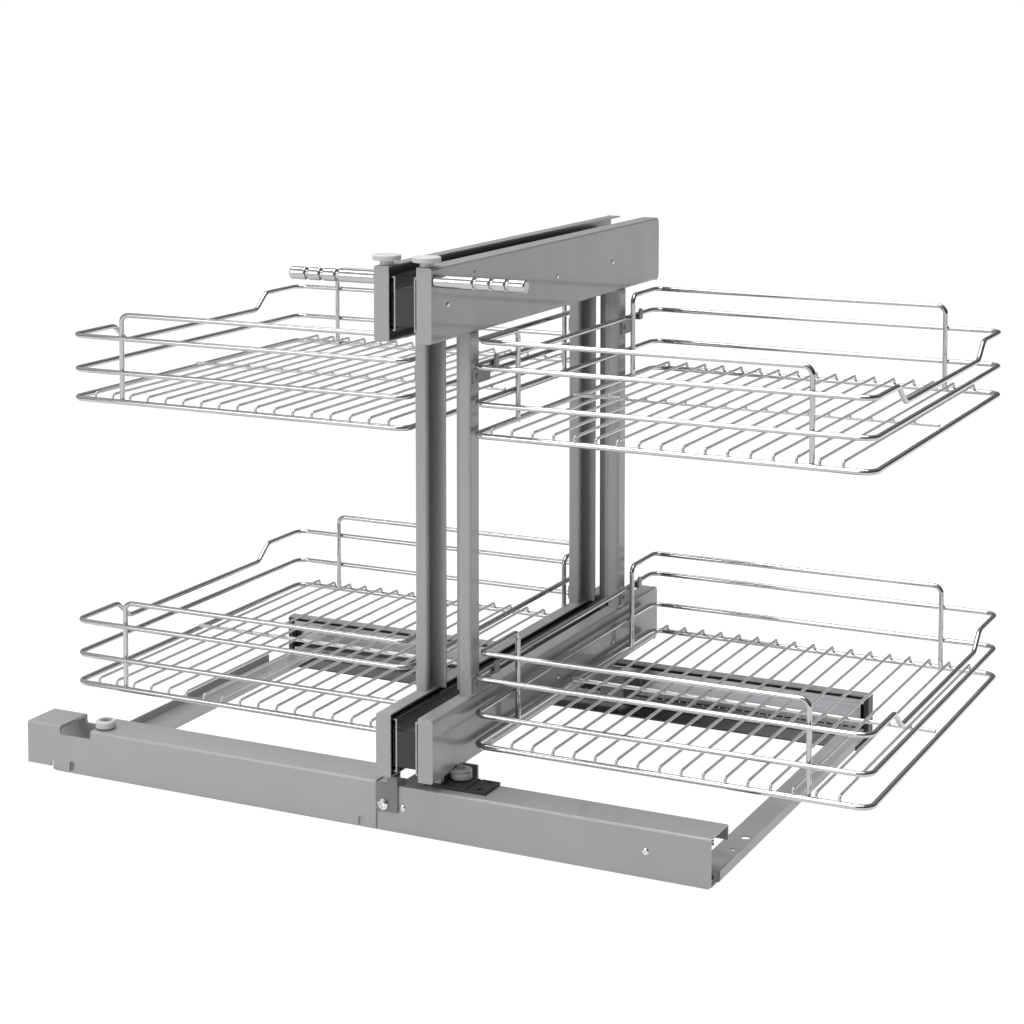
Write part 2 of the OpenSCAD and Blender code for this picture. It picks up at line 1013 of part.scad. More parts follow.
// Floor: floor wires bent down onto the rim at both ends, and one cross wire
module basket_floor(z) {
    lift = base_d / 2;
    gz = lift + 4.25;
    sz = gz - grid_d / 2 - support_d / 2 + weld;
    touch = base_d / 2 + 0.3;
    translate([0, 0, z]) {
        for (i = [0 : grid_n - 1]) {
            x = grid_x0 + i * grid_step;
            wire([[x, by0, lift], [x, by0, gz], [x, by1, gz], [x, by1, lift]], grid_d, 3);
        }
        rod([bx0 + touch, (by0 + by1) / 2, sz], [bx1 - touch, (by0 + by1) / 2, sz], support_d);
    }
}

module low_channel_left() { color(grey) on_side(true) low_channel(); }
module top_channel_left() { color(grey) on_side(true) top_channel(); }
module front_post_left() { color(grey) on_side(true) post(post_front); }
module rear_post_left() { color(grey) on_side(true) post(post_rear); }
module runners_left() { color(zinc) on_side(true) runners(); }
module rivets_left() { color(zinc) on_side(true) frame_rivets(); }
module handle_left() { color(chrome) on_side(true) handle(); }
module roller_pins_left() { color(zinc) on_side(true) roller_pins(); }
module hangers_left() { color(grey) on_side(true) hangers(); }
module rim_upper_left() { color(chrome) on_side(true) rim(top_bz); }
module floor_upper_left() { color(chrome) on_side(true) basket_floor(top_bz); }
module rim_lower_left() { color(chrome) on_side(true) rim(low_bz); }
module floor_lower_left() { color(chrome) on_side(true) basket_floor(low_bz); }
module foot_roller_left() { color(white) on_side(true) foot_roller(); }
module top_roller_left() { color(white) on_side(true) top_roller(); }

module low_channel_right() { color(grey) on_side(false) low_channel(); }
module top_channel_right() { color(grey) on_side(false) top_channel(); }
module front_post_right() { color(grey) on_side(false) post(post_front); }
module rear_post_right() { color(grey) on_side(false) post(post_rear); }
module runners_right() { color(zinc) on_side(false) runners(); }
module rivets_right() { color(zinc) on_side(false) frame_rivets(); }
module handle_right() { color(chrome) on_side(false) handle(); }
module roller_pins_right() { color(zinc) on_side(false) roller_pins(); }
module hangers_right() { color(grey) on_side(false) hangers(); }
module rim_upper_right() { color(chrome) on_side(false) rim(top_bz); }
module floor_upper_right() { color(chrome) on_side(false) basket_floor(top_bz); }
module rim_lower_right() { color(chrome) on_side(false) rim(low_bz); }
module floor_lower_right() { color(chrome) on_side(false) basket_floor(low_bz); }
module foot_roller_right() { color(white) on_side(false) foot_roller(); }
module top_roller_right() { color(white) on_side(false) top_roller(); }

front_rail();
rail_cover();
cover_clip();
base_screws();
side_rail_left();
side_rail_right();
rear_rail();
rear_caps();
rail_rivets();
front_slide_fixed();
rear_slide_fixed();
cover_roller();
rest_pad();
glide_block();
front_slide_runner();
rear_slide_runner();
front_cage();
rear_cage();
front_carrier();
rear_carrier();
lower_beam();
upper_beam();
beam_plugs();
carriage_upright();
lower_tracks();
upper_tracks();
mid_low_left();
mid_top_left();
mid_low_right();
mid_top_right();
low_channel_left();
top_channel_left();
front_post_left();
rear_post_left();
runners_left();
rivets_left();
handle_left();
roller_pins_left();
hangers_left();
rim_upper_left();
floor_upper_left();
rim_lower_left();
floor_lower_left();
foot_roller_left();
top_roller_left();
low_channel_right();
top_channel_right();
front_post_right();
rear_post_right();
runners_right();
rivets_right();
handle_right();
roller_pins_right();
hangers_right();
rim_upper_right();
floor_upper_right();
rim_lower_right();
floor_lower_right();
foot_roller_right();
top_roller_right();
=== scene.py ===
"""Looks of a pull-out basket unit for a corner cabinet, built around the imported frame.

Every size is in metres in the frame's own axes: +X right, +Y to the back, +Z up.
"""

import logging
import math
from dataclasses import dataclass, field, replace
from enum import Enum
from typing import Callable, Iterable, Sequence

import bpy
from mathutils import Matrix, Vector


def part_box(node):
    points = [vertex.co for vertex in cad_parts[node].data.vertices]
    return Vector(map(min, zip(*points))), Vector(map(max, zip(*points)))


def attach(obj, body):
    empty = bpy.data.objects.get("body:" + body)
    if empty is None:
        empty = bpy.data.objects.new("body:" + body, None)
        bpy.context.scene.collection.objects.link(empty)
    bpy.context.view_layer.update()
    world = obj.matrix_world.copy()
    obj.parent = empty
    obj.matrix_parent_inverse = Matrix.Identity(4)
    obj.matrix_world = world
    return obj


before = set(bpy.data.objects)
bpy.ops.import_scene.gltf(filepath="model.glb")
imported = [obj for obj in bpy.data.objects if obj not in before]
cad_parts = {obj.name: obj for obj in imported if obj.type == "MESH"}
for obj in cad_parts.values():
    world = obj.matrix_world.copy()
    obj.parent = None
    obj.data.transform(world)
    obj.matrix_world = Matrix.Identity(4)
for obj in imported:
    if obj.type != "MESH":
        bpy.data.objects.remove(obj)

LOG = logging.getLogger("basket_unit")
Triple = tuple[float, float, float]
Span = tuple[float, float]
MM = 0.001


class Side(Enum):
    """The two mirrored halves of the unit."""

    LEFT = "left"
    RIGHT = "right"


class Level(Enum):
    """The two heights at which a half carries a basket."""

    LOWER = "lower"
    UPPER = "upper"


class Grain(Enum):
    """The axis along which a rolled surface is streaked."""

    X = 0
    Y = 1


# ---------------------------------------------------------------- shader graphs


class Graph:
    """A node tree with short ways to add and to join its nodes."""

    def __init__(self, tree: bpy.types.NodeTree) -> None:
        """Wraps a node tree.

        Args:
            tree: The tree that the nodes are added to.
        """
        self.tree = tree

    def add(self, kind: str, **settings: object) -> bpy.types.Node:
        """Adds a node.

        Args:
            kind: The node's type name in Blender.
            settings: Properties of the node that are set on it.

        Returns:
            The new node.
        """
        node = self.tree.nodes.new(kind)
        for key, value in settings.items():
            setattr(node, key, value)
        return node

    def join(self, source: bpy.types.NodeSocket, target: bpy.types.NodeSocket) -> None:
        """Links an output to an input."""
        self.tree.links.new(source, target)

    def fill(self, node: bpy.types.Node, values: dict[str, object]) -> bpy.types.Node:
        """Sets a node's input sockets.

        Args:
            node: The node.
            values: Socket name to value.

        Returns:
            The same node.
        """
        for key, value in values.items():
            node.inputs[key].default_value = value
        return node

    def spread(
        self, source: bpy.types.NodeSocket, reach: Span, result: Span, **settings: object
    ) -> bpy.types.NodeSocket:
        """Maps one span of a value to another span.

        Args:
            source: The value.
            reach: The span that it comes from.
            result: The span that it goes to.
            settings: Properties of the node that are set on it.

        Returns:
            The socket with the mapped value.
        """
        node = self.add("ShaderNodeMapRange", **settings)
        self.fill(node, {"From Min": reach[0], "From Max": reach[1]})
        self.fill(node, {"To Min": result[0], "To Max": result[1]})
        self.join(source, node.inputs["Value"])
        return node.outputs["Result"]


def new_group(
    name: str, inputs: dict[str, tuple[str, object]], outputs: dict[str, str]
) -> tuple[Graph, bpy.types.Node, bpy.types.Node]:
    """Starts a shader node group with its sockets.

    Args:
        name: The group's name.
        inputs: Socket name to its type name and default value.
        outputs: Socket name to its type name.

    Returns:
        The graph of the group, its input node and its output node.
    """
    tree = bpy.data.node_groups.new(name, "ShaderNodeTree")
    for key, (kind, value) in inputs.items():
        socket = tree.interface.new_socket(key, in_out="INPUT", socket_type=kind)
        socket.default_value = value
    for key, kind in outputs.items():
        tree.interface.new_socket(key, in_out="OUTPUT", socket_type=kind)
    graph = Graph(tree)
    return graph, graph.add("NodeGroupInput"), graph.add("NodeGroupOutput")


def stretched_noise(
    graph: Graph, stretch: bpy.types.NodeSocket, detail: float = 3.0, fade: float = 0.55
) -> bpy.types.NodeSocket:
    """Adds noise on object coordinates that are scaled per axis.

    Args:
        graph: The graph that gets the nodes.
        stretch: A vector socket with the scale along each axis.
        detail: Octaves of the noise.
        fade: How strong each octave is beside the one before it.

    Returns:
        The socket with the noise.
    """
    where = graph.add("ShaderNodeTexCoord")
    scale = graph.add("ShaderNodeVectorMath", operation="MULTIPLY")
    noise = graph.add("ShaderNodeTexNoise")
    graph.fill(noise, {"Scale": 1.0, "Detail": detail, "Roughness": fade})
    graph.join(where.outputs["Object"], scale.inputs[0])
    graph.join(stretch, scale.inputs[1])
    graph.join(scale.outputs[0], noise.inputs["Vector"])
    return noise.outputs["Fac"]


class Effects:
    """The node groups that several finishes share, each made once.

    Attributes:
        value_reach: The middle of the noise's range, which a value's drift spreads out.
        colour_reach: The same for a colour's drift.
        relief_detail: Octaves of the relief's noise.
        relief_height: Height of the relief at full strength.
    """

    value_reach: Span = (0.3, 0.7)
    colour_reach: Span = (0.32, 0.68)
    relief_detail: float = 2.0
    relief_height: float = 0.2 * MM
    _made: dict[str, bpy.types.NodeTree] = {}

    @classmethod
    def _once(cls, name: str, build: Callable[[], Graph]) -> bpy.types.NodeTree:
        """Gives the group of a name, and builds it the first time.

        Args:
            name: The group's name.
            build: What builds it.

        Returns:
            The group.
        """
        if name not in cls._made:
            cls._made[name] = build().tree
        return cls._made[name]

    @classmethod
    def value_drift(cls) -> bpy.types.NodeTree:
        """A value that wanders between two limits over the surface."""
        return cls._once("value_drift", cls._build_value_drift)

    @classmethod
    def colour_drift(cls) -> bpy.types.NodeTree:
        """A colour that wanders between two shades over the surface."""
        return cls._once("colour_drift", cls._build_colour_drift)

    @classmethod
    def relief(cls) -> bpy.types.NodeTree:
        """A normal with fine noise in it."""
        return cls._once("relief", cls._build_relief)

    @classmethod
    def painted_low_shade(cls) -> bpy.types.NodeTree:
        """A painted shade: a colour that turns dark below a height."""
        return cls._once("painted_low_shade", cls._build_painted_low_shade)

    @classmethod
    def _build_value_drift(cls) -> Graph:
        """Builds the group behind value_drift.

        Returns:
            The group's graph.
        """
        graph, source, sink = new_group(
            "value_drift",
            {
                "Stretch": ("NodeSocketVector", (40.0, 40.0, 40.0)),
                "Low": ("NodeSocketFloat", 0.3),
                "High": ("NodeSocketFloat", 0.4),
            },
            {"Value": "NodeSocketFloat"},
        )
        noise = stretched_noise(graph, source.outputs["Stretch"])
        spread = graph.add("ShaderNodeMapRange")
        graph.fill(spread, {"From Min": cls.value_reach[0], "From Max": cls.value_reach[1]})
        graph.join(noise, spread.inputs["Value"])
        graph.join(source.outputs["Low"], spread.inputs["To Min"])
        graph.join(source.outputs["High"], spread.inputs["To Max"])
        graph.join(spread.outputs["Result"], sink.inputs["Value"])
        return graph

    @classmethod
    def _build_colour_drift(cls) -> Graph:
        """Builds the group behind colour_drift.

        Returns:
            The group's graph.
        """
        graph, source, sink = new_group(
            "colour_drift",
            {
                "Stretch": ("NodeSocketVector", (12.0, 12.0, 12.0)),
                "One": ("NodeSocketColor", (0.5, 0.5, 0.5, 1.0)),
                "Other": ("NodeSocketColor", (0.4, 0.4, 0.4, 1.0)),
            },
            {"Color": "NodeSocketColor"},
        )
        noise = stretched_noise(graph, source.outputs["Stretch"])
        share = graph.spread(noise, cls.colour_reach, (0.0, 1.0))
        mix = graph.add("ShaderNodeMix", data_type="RGBA")
        graph.join(share, mix.inputs["Factor"])
        graph.join(source.outputs["One"], mix.inputs["A"])
        graph.join(source.outputs["Other"], mix.inputs["B"])
        graph.join(mix.outputs["Result"], sink.inputs["Color"])
        return graph

    @classmethod
    def _build_relief(cls) -> Graph:
        """Builds the group behind relief.

        Returns:
            The group's graph.
        """
        graph, source, sink = new_group(
            "relief",
            {
                "Stretch": ("NodeSocketVector", (900.0, 900.0, 900.0)),
                "Depth": ("NodeSocketFloat", 0.05),
            },
            {"Normal": "NodeSocketVector"},
        )
        noise = stretched_noise(graph, source.outputs["Stretch"], cls.relief_detail)
        bump = graph.fill(graph.add("ShaderNodeBump"), {"Distance": cls.relief_height})
        graph.join(noise, bump.inputs["Height"])
        graph.join(source.outputs["Depth"], bump.inputs["Strength"])
        graph.join(bump.outputs["Normal"], sink.inputs["Normal"])
        return graph

    @classmethod
    def _build_painted_low_shade(cls) -> Graph:
        """Builds the group behind painted_low_shade, which paints shade below a height.

        Returns:
            The group's graph.
        """
        graph, source, sink = new_group(
            "painted_low_shade",
            {
                "Color": ("NodeSocketColor", (0.5, 0.5, 0.5, 1.0)),
                "Shade": ("NodeSocketColor", (0.02, 0.02, 0.02, 1.0)),
                "Height": ("NodeSocketFloat", 0.0),
            },
            {"Color": "NodeSocketColor"},
        )
        # Painted shade: below the height the colour is swapped for the dark shade colour.
        where = graph.add("ShaderNodeTexCoord")
        split = graph.add("ShaderNodeSeparateXYZ")
        above = graph.add("ShaderNodeMath", operation="GREATER_THAN")
        mix = graph.add("ShaderNodeMix", data_type="RGBA")
        graph.join(where.outputs["Object"], split.inputs[0])
        graph.join(split.outputs["Z"], above.inputs[0])
        graph.join(source.outputs["Height"], above.inputs[1])
        graph.join(above.outputs[0], mix.inputs["Factor"])
        graph.join(source.outputs["Shade"], mix.inputs["A"])
        graph.join(source.outputs["Color"], mix.inputs["B"])
        graph.join(mix.outputs["Result"], sink.inputs["Color"])
        return graph


def rgba(colour: Triple) -> tuple[float, float, float, float]:
    """The colour with full opacity."""
    return (*colour, 1.0)


# --------------------------------------------------------------------- finishes


@dataclass(frozen=True)
class Finish:
    """A surface: two near shades, a span of roughness, and fine relief.

    Attributes:
        name: The material's name.
        shade: One colour of the surface.
        other: The colour that it drifts to.
        rough: Lowest and highest roughness.
        metal: How metallic the surface is.
        drift: Scale of the colour drift along each axis.
        mottle: Scale of the roughness drift along each axis.
        grain: Scale of the relief along each axis.
        depth: Strength of the relief.
        painted_shade_below: Height under which the surface gets painted deep shade, or 0 for none.
        extras: Other sockets of the shader, by name.
    """

    name: str
    shade: Triple
    other: Triple
    rough: Span
    metal: float = 0.0
    drift: Triple = (9.0, 9.0, 9.0)
    mottle: Triple = (35.0, 35.0, 35.0)
    grain: Triple = (900.0, 900.0, 900.0)
    depth: float = 0.05
    painted_shade_below: float = 0.0
    extras: dict[str, object] = field(default_factory=dict)

    def material(self) -> bpy.types.Material:
        """Builds the material from the shared effects.

        Returns:
            The new material.
        """
        made = bpy.data.materials.new(self.name)
        made.use_nodes = True
        graph = Graph(made.node_tree)
        shader = graph.tree.nodes["Principled BSDF"]
        graph.fill(shader, {"Metallic": self.metal, **self.extras})
        colour = self._effect(graph, Effects.colour_drift())
        graph.fill(colour, {"Stretch": self.drift, "One": rgba(self.shade), "Other": rgba(self.other)})
        shown = colour.outputs["Color"]
        # Painted shade: below a height the colour turns dark.
        if self.painted_shade_below:
            low = self._effect(graph, Effects.painted_low_shade())
            graph.fill(low, {"Height": self.painted_shade_below})
            graph.join(shown, low.inputs["Color"])
            shown = low.outputs["Color"]
        graph.join(shown, shader.inputs["Base Color"])
        rough = self._effect(graph, Effects.value_drift())
        graph.fill(rough, {"Stretch": self.mottle, "Low": self.rough[0], "High": self.rough[1]})
        graph.join(rough.outputs["Value"], shader.inputs["Roughness"])
        relief = self._effect(graph, Effects.relief())
        graph.fill(relief, {"Stretch": self.grain, "Depth": self.depth})
        graph.join(relief.outputs["Normal"], shader.inputs["Normal"])
        return made

    @staticmethod
    def _effect(graph: Graph, tree: bpy.types.NodeTree) -> bpy.types.Node:
        """Adds a group node that shows a shared effect."""
        return graph.add("ShaderNodeGroup", node_tree=tree)


def streaks(axis: Grain, along: float, across: float) -> Triple:
    """Noise scales for streaks that run along one axis.

    Args:
        axis: The axis.
        along: The scale along it.
        across: The scale along the other two.

    Returns:
        The three scales.
    """
    scales = [across] * 3
    scales[axis.value] = along
    return tuple(scales)


def zinc(name: str, axis: Grain) -> Finish:
    """Bright zinc plate on rolled steel.

    Args:
        name: The material's name.
        axis: The axis along which the steel was rolled.

    Returns:
        The finish.
    """
    return Finish(
        name=name,
        shade=(0.44, 0.45, 0.465),
        other=(0.35, 0.36, 0.37),
        rough=(0.20, 0.36),
        metal=1.0,
        drift=streaks(axis, 4.0, 60.0),
        mottle=streaks(axis, 6.0, 300.0),
        grain=streaks(axis, 12.0, 1500.0),
        depth=0.18,
    )


CROSS_ZINC = zinc("cross_zinc", Grain.X)
SLIDE_ZINC = zinc("slide_zinc", Grain.Y)
MIDDLE_ZINC = replace(
    SLIDE_ZINC, name="middle_zinc", shade=(0.15, 0.155, 0.16), other=(0.11, 0.113, 0.118)
)
GREY_PAINT = Finish(
    name="grey_paint",
    shade=(0.376, 0.374, 0.365),
    other=(0.346, 0.344, 0.336),
    rough=(0.32, 0.42),
    metal=0.10,
    drift=(5.0, 5.0, 5.0),
    grain=(700.0, 700.0, 700.0),
    depth=0.06,
    extras={"Coat Weight": 0.5, "Coat Roughness": 0.05, "Coat IOR": 1.5},
)
# The rear rail's grey paint, with painted shade on its lowest 3 mm.
REAR_PAINT_WITH_PAINTED_SHADE = replace(GREY_PAINT, name="rear_paint_painted_shade", painted_shade_below=3.0 * MM)
# A darker copy of the grey paint: painted shade on the cover clip.
PAINTED_SHADE_GREY = replace(
    GREY_PAINT, name="painted_shade_grey", shade=(0.19, 0.187, 0.18), other=(0.165, 0.162, 0.155)
)
DARK_STEEL = Finish(
    name="dark_steel",
    shade=(0.20, 0.20, 0.195),
    other=(0.16, 0.16, 0.156),
    rough=(0.30, 0.42),
    metal=0.2,
    depth=0.10,
)
HOOK_STEEL = replace(
    DARK_STEEL, name="hook_steel", shade=(0.27, 0.27, 0.262), other=(0.23, 0.23, 0.224)
)
FASTENERS = Finish(
    name="plated_fasteners",
    shade=(0.70, 0.70, 0.70),
    other=(0.60, 0.60, 0.62),
    rough=(0.14, 0.26),
    metal=1.0,
    mottle=(400.0, 400.0, 400.0),
    depth=0.08,
)
CHROME_WIRE = Finish(
    name="chrome_wire",
    shade=(0.54, 0.54, 0.545),
    other=(0.47, 0.47, 0.48),
    rough=(0.05, 0.11),
    metal=1.0,
    mottle=(60.0, 60.0, 60.0),
    grain=(300.0, 300.0, 300.0),
    depth=0.05,
)
FLOOR_WIRE = replace(
    CHROME_WIRE,
    name="floor_wire",
    shade=(0.66, 0.66, 0.675),
    other=(0.59, 0.59, 0.605),
    rough=(0.18, 0.28),
    metal=0.55,
)
CHROME_BAR = Finish(
    name="chrome_bar",
    shade=(0.52, 0.52, 0.525),
    other=(0.46, 0.46, 0.465),
    rough=(0.10, 0.18),
    metal=1.0,
    mottle=(80.0, 80.0, 80.0),
    depth=0.04,
)
WHITE_NYLON = Finish(
    name="white_nylon",
    shade=(0.60, 0.59, 0.575),
    other=(0.55, 0.54, 0.525),
    rough=(0.34, 0.46),
    depth=0.10,
    extras={"Subsurface Weight": 0.15, "Subsurface Scale": 0.002},
)
BLACK_PLASTIC = Finish(
    name="black_plastic",
    shade=(0.022, 0.022, 0.024),
    other=(0.03, 0.03, 0.033),
    rough=(0.38, 0.52),
    grain=(1400.0, 1400.0, 1400.0),
    depth=0.35,
)
CAGE_PLASTIC = Finish(
    name="ball_cage",
    shade=(0.016, 0.016, 0.018),
    other=(0.025, 0.025, 0.027),
    rough=(0.30, 0.45),
    depth=0.2,
)
BALL_STEEL = Finish(
    name="ball_steel",
    shade=(0.80, 0.80, 0.82),
    other=(0.72, 0.72, 0.74),
    rough=(0.05, 0.10),
    metal=1.0,
    depth=0.02,
)


class Wardrobe:
    """Hands out one material for each finish, and dresses the frame's nodes."""

    def __init__(self) -> None:
        """Starts with no material made."""
        self._made: dict[str, bpy.types.Material] = {}

    def of(self, finish: Finish) -> bpy.types.Material:
        """The material of a finish, made the first time it is asked for.

        Args:
            finish: The finish.

        Returns:
            Its material.
        """
        if finish.name not in self._made:
            self._made[finish.name] = finish.material()
        return self._made[finish.name]

    def dress(self, names: Iterable[str], finish: Finish) -> None:
        """Gives a finish to nodes of the frame.

        Args:
            names: The nodes.
            finish: What they get.
        """
        for name in names:
            self.paint(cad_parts[name], finish)

    def paint(self, thing: bpy.types.Object, finish: Finish) -> None:
        """Gives a finish to one object.

        Args:
            thing: The object.
            finish: What it gets.
        """
        thing.data.materials.clear()
        thing.data.materials.append(self.of(finish))
        LOG.info("%s has %s", thing.name, finish.name)


# ------------------------------------------------------------------- modelling


def nothing_selected() -> None:
    """Leaves edit mode and clears the selection."""
    if bpy.context.object and bpy.context.object.mode != "OBJECT":
        bpy.ops.object.mode_set(mode="OBJECT")
    bpy.ops.object.select_all(action="DESELECT")


def settle(
    thing: bpy.types.Object, name: str, finish: Finish, wardrobe: Wardrobe, smooth: float
) -> None:
    """Moves a piece's place into its mesh, names it, smooths it and gives it a finish.

    Args:
        thing: The piece.
        name: Its name.
        finish: Its finish.
        wardrobe: Where the material comes from.
        smooth: Largest angle, in degrees, that is shaded smooth.
    """
    nothing_selected()
    thing.select_set(True)
    bpy.context.view_layer.objects.active = thing
    bpy.ops.object.transform_apply(location=True, rotation=True, scale=True)
    bpy.ops.object.shade_smooth_by_angle(angle=math.radians(smooth))
    thing.name = name
    wardrobe.paint(thing, finish)


def copies_along(thing: bpy.types.Object, places: Sequence[Triple]) -> bpy.types.Object:
    """Copies a piece to places and joins the copies with it.

    Args:
        thing: The piece, modelled at the first place.
        places: How far each further copy lies from the first.

    Returns:
        The joined piece.
    """
    copies = []
    for place in places:
        twin = thing.copy()
        twin.data = thing.data.copy()
        bpy.context.scene.collection.objects.link(twin)
        twin.location = Vector(place) + thing.location
        copies.append(twin)
    nothing_selected()
    for twin in copies:
        twin.select_set(True)
    thing.select_set(True)
    bpy.context.view_layer.objects.active = thing
    bpy.ops.object.join()
    return thing


# ---------------------------------------------------------------- sub-assemblies


@dataclass
class Base:
    """The low frame on the cabinet floor: rails, cover, cross tracks and pad.

    Attributes:
        wardrobe: Where finishes come from.
        ball_d: Diameter of the balls in the cross slides.
        ball_pitch: Distance between two balls.
        ball_inset: How far a row's centres lie inside the cage's lower or upper edge.
        ball_sink: How far the centres lie behind the cage's open face.
        ball_margin: Length without balls at each end of the cage.
        ball_segments: Faces round a ball.
        ball_rings: Faces from pole to pole of a ball.
        ball_smooth: Largest angle, in degrees, that is shaded smooth on a ball.
    """

    wardrobe: Wardrobe
    ball_d: float = 3.2 * MM
    ball_pitch: float = 9.0 * MM
    ball_inset: float = 1.55 * MM
    ball_sink: float = 0.7 * MM
    ball_margin: float = 6.0 * MM
    ball_segments: int = 16
    ball_rings: int = 10
    ball_smooth: float = 60.0

    def dress(self) -> None:
        """Gives the base's nodes their finishes."""
        rails = ["front_rail", "rail_cover", "side_rail_left", "side_rail_right"]
        self.wardrobe.dress(rails, GREY_PAINT)
        # The rear rail's paint carries painted shade near the floor.
        self.wardrobe.dress(["rear_rail"], REAR_PAINT_WITH_PAINTED_SHADE)
        # The cover clip gets a darker copy of the grey paint as painted shade.
        self.wardrobe.dress(["cover_clip"], PAINTED_SHADE_GREY)
        self.wardrobe.dress(["rear_caps", "rest_pad"], BLACK_PLASTIC)
        self.wardrobe.dress(["rail_rivets", "base_screws"], FASTENERS)
        self.wardrobe.dress(["cover_roller", "glide_block"], WHITE_NYLON)
        slides = ["front_slide_fixed", "rear_slide_fixed", "front_slide_runner", "rear_slide_runner"]
        self.wardrobe.dress(slides, CROSS_ZINC)
        self.wardrobe.dress(["front_cage", "rear_cage"], CAGE_PLASTIC)

    def balls(self, cage: str, body: str) -> None:
        """Two rows of steel balls that show in a cage's strips.

        Args:
            cage: The cage's node.
            body: The body that the balls ride on.
        """
        low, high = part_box(cage)
        face = high.y - self.ball_sink if cage == "front_cage" else low.y + self.ball_sink
        start = Vector((low.x + self.ball_margin, face, low.z + self.ball_inset))
        nothing_selected()
        bpy.ops.mesh.primitive_uv_sphere_add(
            segments=self.ball_segments,
            ring_count=self.ball_rings,
            radius=self.ball_d / 2,
            location=start,
        )
        ball = bpy.context.object
        count = int((high.x - low.x - 2 * self.ball_margin) / self.ball_pitch)
        rise = high.z - low.z - 2 * self.ball_inset
        places = [(i * self.ball_pitch, 0.0, 0.0) for i in range(1, count + 1)]
        places += [(i * self.ball_pitch, 0.0, rise) for i in range(count + 1)]
        row = copies_along(ball, places)
        settle(row, f"{cage}_balls", BALL_STEEL, self.wardrobe, self.ball_smooth)
        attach(row, body)

    def build(self) -> None:
        """Dresses the nodes and adds the base's own pieces."""
        self.dress()
        self.balls("front_cage", "front_ball_cage")
        self.balls("rear_cage", "rear_ball_cage")


@dataclass
class Carriage:
    """The part that shifts sideways: carriers, beams, upright and slide tracks.

    Attributes:
        wardrobe: Where finishes come from.
    """

    wardrobe: Wardrobe

    def build(self) -> None:
        """Gives the carriage's nodes their finishes."""
        self.wardrobe.dress(["front_carrier", "rear_carrier", "carriage_upright"], DARK_STEEL)
        self.wardrobe.dress(["beam_plugs"], BLACK_PLASTIC)
        long_ones = ["lower_beam", "upper_beam", "lower_tracks", "upper_tracks"]
        self.wardrobe.dress(long_ones, SLIDE_ZINC)


@dataclass
class Half:
    """One of the two mirrored frames with its slides, handle, rollers and baskets.

    Attributes:
        wardrobe: Where finishes come from.
        side: Which of the two it is.
    """

    wardrobe: Wardrobe
    side: Side

    def build(self) -> None:
        """Gives the nodes of this half their finishes."""
        end = self.side.value
        sheets = ["low_channel", "top_channel", "front_post", "rear_post"]
        self.wardrobe.dress([f"{n}_{end}" for n in sheets], GREY_PAINT)
        self.wardrobe.dress([f"hangers_{end}"], HOOK_STEEL)
        self.wardrobe.dress([f"runners_{end}"], SLIDE_ZINC)
        self.wardrobe.dress([f"mid_low_{end}", f"mid_top_{end}"], MIDDLE_ZINC)
        self.wardrobe.dress([f"rivets_{end}", f"roller_pins_{end}"], FASTENERS)
        self.wardrobe.dress([f"handle_{end}"], CHROME_BAR)
        self.wardrobe.dress([f"foot_roller_{end}", f"top_roller_{end}"], WHITE_NYLON)
        for level in Level:
            self.wardrobe.dress([f"rim_{level.value}_{end}"], CHROME_WIRE)
            self.wardrobe.dress([f"floor_{level.value}_{end}"], FLOOR_WIRE)


# ----------------------------------------------------------------------- studio


@dataclass(frozen=True)
class Lamp:
    """A soft rectangular lamp.

    Attributes:
        name: The lamp's name.
        place: Where it hangs.
        aim: The point that it faces.
        size: Width and height.
        power: Watts.
    """

    name: str
    place: Triple
    aim: Triple
    size: Span
    power: float

    def hang(self) -> None:
        """Adds the lamp to the scene."""
        nothing_selected()
        facing = (Vector(self.aim) - Vector(self.place)).to_track_quat("-Z", "Y").to_euler()
        bpy.ops.object.light_add(type="AREA", location=self.place, rotation=facing)
        lamp = bpy.context.object
        lamp.name = self.name
        lamp.data.shape = "RECTANGLE"
        lamp.data.size, lamp.data.size_y = self.size
        lamp.data.energy = self.power


TOP_LIGHT = Lamp("top_light", place=(-0.2, -0.2, 2.6), aim=(0.0, 0.0, 0.2), size=(2.4, 1.8), power=64.0)
FRONT_LIGHT = Lamp(
    "front_light", place=(-1.3, -2.9, 1.5), aim=(0.0, 0.0, 0.25), size=(1.8, 1.6), power=31.0
)


